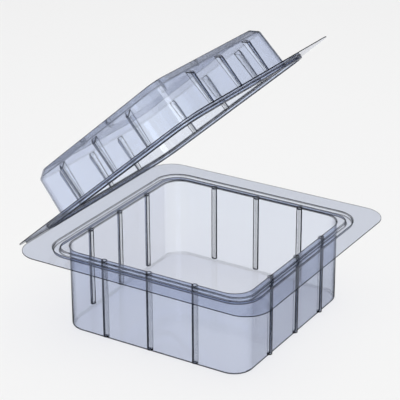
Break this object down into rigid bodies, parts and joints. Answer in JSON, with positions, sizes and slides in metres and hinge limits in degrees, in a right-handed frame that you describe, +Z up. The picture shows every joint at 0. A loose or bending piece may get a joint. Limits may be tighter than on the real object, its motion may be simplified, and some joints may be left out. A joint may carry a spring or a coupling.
{
  "type": "hinged clamshell food box",
  "caption": "Clear square clamshell fruit box with ribbed tub, broad flat rim with a snap channel, and a domed ribbed lid hinged on a crease along one edge.",
  "frame": {"origin": "centre of the tub's flat underside, on the surface that the box stands on", "axes": "+X along the hinge crease, +Y towards the hinge crease, +Z up out of the tub's mouth"},
  "size_m": [0.1654, 0.1666, 0.1659],
  "materials": {
    "clear_sheet": "clear formed sheet with a faint cool tint and a high gloss"
  },
  "bodies": {
    "tray": {"tray": "clear_sheet", "living_hinge": "clear_sheet"},
    "lid": {"lid": "clear_sheet"}
  },
  "joints": [
    {"name": "lid_hinge", "type": "hinge", "parent": "tray", "child": "lid", "pos_m": [0, 0.0835, 0.05245], "axis": [-1, 0, 0], "range_deg": [-41.3, 138.7]}
  ]
}
